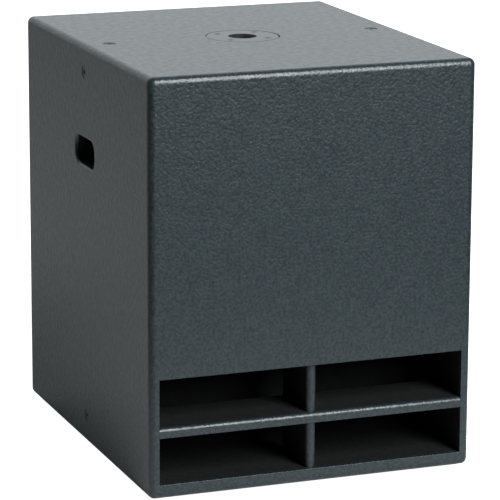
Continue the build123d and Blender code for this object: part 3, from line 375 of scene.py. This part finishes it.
NOISE_SPAN = (0.3, 0.7)  # where most of a noise texture's values lie
ROUGHNESS_DRIFT = 0.05
PAINT = (0.0142, 0.0222, 0.0258)
# Painted shade of the relief: the paint's colour goes this much lighter on the grain and darker in its
# dips.
PAINT_RELIEF_SHADE = 0.34
PAINT_ROUGHNESS = 0.36
PAINT_DRIFT = 0.03
PAINT_PATCHES = 100
TEXTURE_SCALE = 230
TEXTURE_DEPTH = 0.6 * MM
INNER_BLACK = (0.0015, 0.0015, 0.0015)
INNER_ROUGHER = 0.32
INNER_STARTS = (6 * MM, 16 * MM)
INNER_ENDS = (14 * MM, 12 * MM)
INNER_MARGIN = (0.4 * MM, 0.8 * MM)
SPRAY_PATCHES = 120
SPRAY_DRIFT = 6 * MM
WORN = (0.06, 0.066, 0.066)
WORN_DROP = 0.4 * MM
WORN_HALF_HEIGHT = (0.5 * MM, 1.1 * MM)
WORN_DEPTH = (1.0 * MM, 2.0 * MM)
WORN_END_X = (-80 * MM, -40 * MM)
WORN_PATCHES = 140
WORN_RAGGED = (0.58, 0.68)


def toned(colour, share):
    """A colour made darker or lighter."""
    return tuple(share * c for c in colour)


def drifting(look, middle, drift, scale):
    """Value that drifts in patches by a little to either side of its middle."""
    return look.spread(look.noise(scale, 2.0), *NOISE_SPAN, middle - drift, middle + drift)


def worn_lip(look, x, y, z):
    """Ragged mask along the front lip of the lower left port, where the paint has rubbed thin."""
    off_lip = look.maths("ABSOLUTE", look.maths("SUBTRACT", z, FLOOR - WORN_DROP))
    near = look.spread(off_lip, *WORN_HALF_HEIGHT, 1, 0)
    at_front = look.spread(y, FRONT + WORN_DEPTH[0], FRONT + WORN_DEPTH[1], 1, 0)
    left = look.spread(x, *WORN_END_X, 1, 0)
    ragged = look.spread(look.noise(WORN_PATCHES, 3.0, 0.7), *WORN_RAGGED)
    patchy = look.maths("MULTIPLY", ragged, left)
    return look.maths("MULTIPLY", look.maths("MULTIPLY", near, at_front), patchy)


def inside_mask(look, x, y, z):
    """1 on the faces of the ports and of the box's inside, 0 on the outside."""
    least, most = INNER_MARGIN
    inside = look.spread(look.maths("ABSOLUTE", x), INNER_X + least, INNER_X + most, 1, 0)
    for past in (look.maths("SUBTRACT", z, FLOOR), look.maths("SUBTRACT", CEILING, z)):
        inside = look.maths("MULTIPLY", inside, look.spread(past, -most, -least))
    spray = look.maths("ADD", y, look.maths("MULTIPLY", look.noise(SPRAY_PATCHES, 3.0), SPRAY_DRIFT))
    from_front = look.spread(spray, *(FRONT + depth for depth in INNER_STARTS))
    to_back = look.spread(y, *(BACK - depth for depth in INNER_ENDS), 1, 0)
    return look.maths("MULTIPLY", look.maths("MULTIPLY", inside, from_front), to_back)


def paint_look():
    """Structured charcoal paint outside, with painted shade of its relief; thin flat black in the ports and
    the box.
    """
    look = Look("cabinet_paint", PAINT, PAINT_ROUGHNESS)
    height = look.noise(TEXTURE_SCALE, 1.0, 0.5)
    look.bump(height, TEXTURE_DEPTH)
    x, y, z = look.axes()
    inside = inside_mask(look, x, y, z)
    # Painted shade of the relief: lighter colour on the raised grain, darker in its dips.
    grain = look.spread(height, *NOISE_SPAN)
    relief_shaded_tone = look.blended(grain, toned(PAINT, 1 - PAINT_RELIEF_SHADE), toned(PAINT, 1 + PAINT_RELIEF_SHADE))
    relief_shaded_tone = look.blended(worn_lip(look, x, y, z), relief_shaded_tone, WORN)
    look.colour(look.blended(inside, relief_shaded_tone, INNER_BLACK))
    rough = drifting(look, PAINT_ROUGHNESS, PAINT_DRIFT, PAINT_PATCHES)
    look.roughness(look.maths("ADD", look.maths("MULTIPLY", inside, INNER_ROUGHER), rough))
    return look.material


def speckled(name, colour, roughness, scale, depth, metallic=0.0, contrast=0.15, specular=0.5):
    """Fine moulded, cast or coated surface."""
    look = Look(name, colour, roughness, metallic)
    look.shader.inputs["Specular IOR Level"].default_value = specular
    grain = look.noise(scale, 3.0, 0.6)
    look.bump(grain, depth)
    patches = look.noise(scale / 12, 3.0)
    look.colour(look.blended(patches, toned(colour, 1 - contrast), toned(colour, 1 + contrast)))
    look.roughness(drifting(look, roughness, ROUGHNESS_DRIFT, scale / 5))
    return look.material


POWDER_COAT = (0.024, 0.029, 0.031)
POWDER_ROUGHNESS = 0.36
# Painted shade: near-black colour of the pole cup's bore.
BORE_PAINTED_SHADE = (0.001, 0.001, 0.001)
BORE_ROUGHNESS = 0.7
BORE_EDGE = (-0.4 * MM, 0.2 * MM)


def pole_cup_look():
    """Powder-coated cup, with a near-black bore: painted shade, so no light shows inside."""
    look = Look("black_metal", POWDER_COAT, POWDER_ROUGHNESS)
    grain = look.noise(260, 1.0)
    look.bump(grain, 0.35 * MM)
    x, y, z = look.axes()
    radius = look.maths("SQRT", look.maths("ADD", look.maths("POWER", x, 2.0), look.maths("POWER", y, 2.0)))
    # Painted shade: inside the flared mouth the bore turns near-black and rougher.
    bore_shade = look.spread(radius, *(BORE_MOUTH + past for past in BORE_EDGE), 1, 0)
    speckle = look.blended(grain, toned(POWDER_COAT, 0.8), toned(POWDER_COAT, 1.2))
    look.colour(look.blended(bore_shade, speckle, BORE_PAINTED_SHADE))
    look.roughness(look.spread(bore_shade, 0.0, 1.0, POWDER_ROUGHNESS, BORE_ROUGHNESS))
    return look.material


WOOD_ROUGHNESS = 0.62
WOOD_ACROSS = 60.0
WOOD_ALONG = 3.0


def wood_look(name, colour, along):
    """Softwood with its grain along one axis."""
    look = Look(name, colour, WOOD_ROUGHNESS)
    stretch = [WOOD_ACROSS] * 3
    stretch["xyz".index(along)] = WOOD_ALONG
    grain = look.noise(6, 6.0, 0.65, look.stretched(*stretch))
    look.colour(look.blended(look.spread(grain, *NOISE_SPAN), toned(colour, 0.6), toned(colour, 1.15)))
    look.bump(grain, 0.2 * MM)
    return look.material


# The ply of the baffle and the port roof is painted flat black, like the inside of the ports.
MATERIALS = {
    "cabinet_paint": paint_look(),
    "birch_ply": speckled("birch_ply", (0.002, 0.002, 0.002), 0.8, 300, 0.2 * MM, specular=0.1),
    "pine_batten": wood_look("pine_batten", (0.45, 0.31, 0.17), "z"),
    "foam_gasket": speckled("foam_gasket", (0.012, 0.012, 0.012), 0.9, 900, 0.4 * MM),
    "black_plastic": speckled("black_plastic", (0.012, 0.012, 0.0125), 0.5, 1500, 0.08 * MM),
    "black_metal": pole_cup_look(),
    "black_zinc": speckled("black_zinc", (0.03, 0.03, 0.032), 0.35, 2500, 0.02 * MM, 0.9),
    "painted_screw": speckled("painted_screw", PAINT, 0.45, 420, 0.3 * MM),
    "zinc_steel": speckled("zinc_steel", (0.62, 0.62, 0.60), 0.3, 900, 0.02 * MM, 1.0),
    "cast_basket": speckled("cast_basket", (0.02, 0.02, 0.02), 0.45, 900, 0.1 * MM),
    "ferrite": speckled("ferrite", (0.03, 0.03, 0.033), 0.55, 600, 0.03 * MM),
    "paper_cone": speckled("paper_cone", (0.014, 0.014, 0.014), 0.8, 500, 0.25 * MM),
    "rubber": speckled("rubber", (0.014, 0.014, 0.014), 0.6, 1200, 0.05 * MM),
    "spider_cloth": speckled("spider_cloth", (0.42, 0.26, 0.09), 0.85, 1400, 0.2 * MM),
    "former_film": speckled("former_film", (0.35, 0.16, 0.04), 0.25, 300, 0.02 * MM),
    "copper_winding": speckled("copper_winding", (0.65, 0.26, 0.13), 0.3, 1500, 0.1 * MM, 1.0),
    "contact_metal": speckled("contact_metal", (0.72, 0.60, 0.38), 0.3, 1500, 0.02 * MM, 1.0),
    "cable_jacket": speckled("cable_jacket", (0.015, 0.015, 0.015), 0.55, 1200, 0.05 * MM),
    "wadding": speckled("wadding", (0.55, 0.55, 0.53), 0.95, 350, 1.5 * MM),
}


def dress_nodes():
    """Gives every CAD node its slot's material."""
    for row in frame["record"]["subparts"]:
        piece = NODES[row["node"]]
        piece.data.materials.clear()
        piece.data.materials.append(MATERIALS[row["material_slot"]])


dress_nodes()


# ---------------------------------------------------------------- soft parts of the driver

DRIVER_FACE = low("basket").y
DRIVER_Z = (low("basket").z + high("basket").z) / 2
CONE_LIP = high("cone").x
FORMER_OUTER = high("voice_coil_former").x
TURNS = 128


def add_mesh(name, slot, verts, faces, sharp_angle=40):
    """A smooth-shaded mesh object with its slot's material."""
    mesh = bpy.data.meshes.new(name)
    mesh.from_pydata(verts, [], faces)
    mesh.validate()
    mesh.shade_smooth()
    mesh.set_sharp_from_angle(angle=math.radians(sharp_angle))
    mesh.materials.append(MATERIALS[slot])
    piece = bpy.data.objects.new(name, mesh)
    bpy.context.scene.collection.objects.link(piece)
    return piece


def turned(name, slot, outline):
    """Solid turned round the driver's axis from a closed outline of (radius, depth) points."""
    verts, faces = [], []
    count = len(outline)
    for turn in range(TURNS):
        angle = 2 * math.pi * turn / TURNS
        for radius, depth in outline:
            x, z = radius * math.cos(angle), radius * math.sin(angle)
            verts.append((x, DRIVER_FACE + depth, DRIVER_Z + z))
    for turn in range(TURNS):
        here, there = turn * count, (turn + 1) % TURNS * count
        for i in range(count):
            j = (i + 1) % count
            faces.append((here + i, here + j, there + j, there + i))
    return add_mesh(name, slot, verts, faces)


def bend_with_radius(piece, still, moving):
    """Bakes a ring in place and works out each point's share between two radii; the shares are not applied.
    """
    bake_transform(piece)
    spots = np.array([v.co for v in piece.data.vertices]) - np.array((0, DRIVER_FACE, DRIVER_Z))
    share = np.clip((np.hypot(spots[:, 0], spots[:, 2]) - still) / (moving - still), 0, 1)
    share = share * share * (3 - 2 * share)


SURROUND_SHEET = 1.2 * MM
SURROUND_GLUE = 8 * MM
SURROUND_BEAD = 0.6 * MM
SURROUND_SHOULDER = 0.6
SURROUND_STEPS = 33


def surround():
    """Half-roll rubber edge, with a raised bead where it is glued down on each side."""
    size = high("surround") - low("surround")
    outer = high("surround").x
    roll = size.y - SURROUND_SHEET
    middle = CONE_LIP + roll
    inner = CONE_LIP - SURROUND_GLUE
    half = SURROUND_SHEET / 2
    start = math.asin(half / (roll + half))
    bead = -SURROUND_SHEET
    shoulder = SURROUND_SHOULDER * bead

    def arc(radius, first, last):
        """Points round the half roll between two angles."""
        angles = np.linspace(first, last, SURROUND_STEPS)
        return [(middle + radius * math.cos(t), -half - radius * math.sin(t)) for t in angles]

    outline = [(inner, shoulder), (inner + SURROUND_BEAD, bead)]
    outline += arc(roll + half, math.pi - start, start)
    outline += [(outer - SURROUND_BEAD, bead), (outer, shoulder), (outer, 0), (middle + roll - half, 0)]
    outline += arc(roll - half, 0, math.pi)
    outline += [(middle - roll + half, 0), (inner, 0)]
    piece = turned("rubber_surround", "rubber", outline)
    bend_with_radius(piece, middle + roll - half, CONE_LIP)
    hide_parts("surround")


SPIDER_CLOTH = 0.7 * MM
SPIDER_FLAT = 12 * MM
SPIDER_WAVES = 6
WAVE_STEPS = 12


def spider():
    """Corrugated cloth disc that centres the coil."""
    near, far = low("spider").y - DRIVER_FACE, high("spider").y - DRIVER_FACE
    outer = high("spider").x
    flat = outer - SPIDER_FLAT
    middle = (near + far) / 2
    swing = (far - near - SPIDER_CLOTH) / 2
    top, under = [], []
    steps = SPIDER_WAVES * WAVE_STEPS
    for i in range(steps + 1):
        radius = FORMER_OUTER + (flat - FORMER_OUTER) * i / steps
        depth = middle + swing * math.sin(2 * math.pi * SPIDER_WAVES * i / steps)
        top.append((radius, depth - SPIDER_CLOTH / 2))
        under.append((radius, depth + SPIDER_CLOTH / 2))
    top.append((outer, middle - SPIDER_CLOTH / 2))
    under.append((outer, middle + SPIDER_CLOTH / 2))
    piece = turned("cloth_spider", "spider_cloth", top + under[::-1])
    bend_with_radius(piece, flat, FORMER_OUTER)
    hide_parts("spider")


LEAD_WELD = 0.01 * MM
LEAD_LONG_EDGE = 3 * MM
LEAD_CUTS = 7


def tinsel_leads():
    """Flexible braided leads, welded and cut finer along their long edges."""
    shape = bmesh.new()
    shape.from_mesh(NODES["tinsel_leads"].data)
    bmesh.ops.remove_doubles(shape, verts=shape.verts, dist=LEAD_WELD)
    long_edges = [edge for edge in shape.edges if edge.calc_length() > LEAD_LONG_EDGE]
    bmesh.ops.subdivide_edges(shape, edges=long_edges, cuts=LEAD_CUTS, use_grid_fill=True)
    mesh = bpy.data.meshes.new("braided_leads")
    shape.to_mesh(mesh)
    shape.free()
    mesh.shade_smooth()
    mesh.materials.clear()
    mesh.materials.append(MATERIALS["contact_metal"])
    piece = bpy.data.objects.new("braided_leads", mesh)
    bpy.context.scene.collection.objects.link(piece)
    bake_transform(piece)
    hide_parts("tinsel_leads")


# ---------------------------------------------------------------- damping pads

PAD_STEP = 6 * MM
PAD_EDGE = 34 * MM
PAD_TUFT = 95 * MM
PAD_PULL_IN = 5 * MM
PAD_SKIN = 0.2 * MM
PAD_LOFT = 0.90
TUFT_LOFT = 0.45
TUFT_RADIUS = 22 * MM
RIPPLE_SCALE = 22
RIPPLE_LOFT = 0.09


def pad_height(a, b, long_side, wide_side, seed):
    """Loft of a pad between 0 and 1 at a place on it, measured from one corner."""
    edge = min(a, long_side - a, b, wide_side - b)
    crown = math.sqrt(max(0.0, 1 - (1 - min(1.0, edge / PAD_EDGE)) ** 2))
    rows = max(1, round(long_side / PAD_TUFT))
    lines = max(1, round(wide_side / PAD_TUFT))
    tuft = 1.0
    for i, j in itertools.product(range(rows), range(lines)):
        spot = ((i + 0.5) * long_side / rows, (j + 0.5) * wide_side / lines)
        far = math.hypot(a - spot[0], b - spot[1])
        tuft = min(tuft, TUFT_LOFT + (1 - TUFT_LOFT) * (1 - math.exp(-(far / TUFT_RADIUS) ** 2)))
    ripple = noise.fractal(Vector((a, b, seed)) * RIPPLE_SCALE, 0.8, 2.0, 4)
    return crown * tuft * (PAD_LOFT + RIPPLE_LOFT * max(-1.0, min(1.0, ripple)))


def damping_pad(node, name, thin, towards, seed):
    """Crowned pad of wadding, dimpled where it is stapled to the wall."""
    least, most = low(node), high(node)
    first, second = [axis for axis in range(3) if axis != thin]
    spans = most - least
    rows, columns = [max(6, round(spans[axis] / PAD_STEP)) for axis in (first, second)]
    wall = most[thin] if towards < 0 else least[thin]
    verts, index = [], {}
    for side, i, j in itertools.product((0, 1), range(rows + 1), range(columns + 1)):
        if side and (i in (0, rows) or j in (0, columns)):
            index[side, i, j] = index[0, i, j]
            continue
        u, v = i / rows, j / columns
        a, b = u * spans[first], v * spans[second]
        loft = pad_height(a, b, spans[first], spans[second], seed) if side else 0.0
        spot = [0.0, 0.0, 0.0]
        spot[first] = least[first] + a + PAD_PULL_IN * (0.5 - u) * 2 * math.sin(math.pi * v)
        spot[second] = least[second] + b + PAD_PULL_IN * (0.5 - v) * 2 * math.sin(math.pi * u)
        spot[thin] = wall + towards * (PAD_SKIN + loft * (spans[thin] - 2 * PAD_SKIN))
        index[side, i, j] = len(verts)
        verts.append(tuple(spot))
    faces = []
    for side, i, j in itertools.product((0, 1), range(rows), range(columns)):
        ring = [index[side, i + di, j + dj] for di, dj in ((0, 0), (1, 0), (1, 1), (0, 1))]
        faces.append(ring if side else ring[::-1])
    piece = add_mesh(name, "wadding", verts, faces, sharp_angle=80)
    outward = bmesh.new()
    outward.from_mesh(piece.data)
    bmesh.ops.recalc_face_normals(outward, faces=outward.faces)
    outward.to_mesh(piece.data)
    outward.free()
    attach(piece, "cabinet")
    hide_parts(node)


surround()
spider()
tinsel_leads()
damping_pad("wadding_left", "damping_pad_left", 0, 1, 1.0)
damping_pad("wadding_right", "damping_pad_right", 0, -1, 2.0)
damping_pad("wadding_rear", "damping_pad_rear", 1, -1, 3.0)
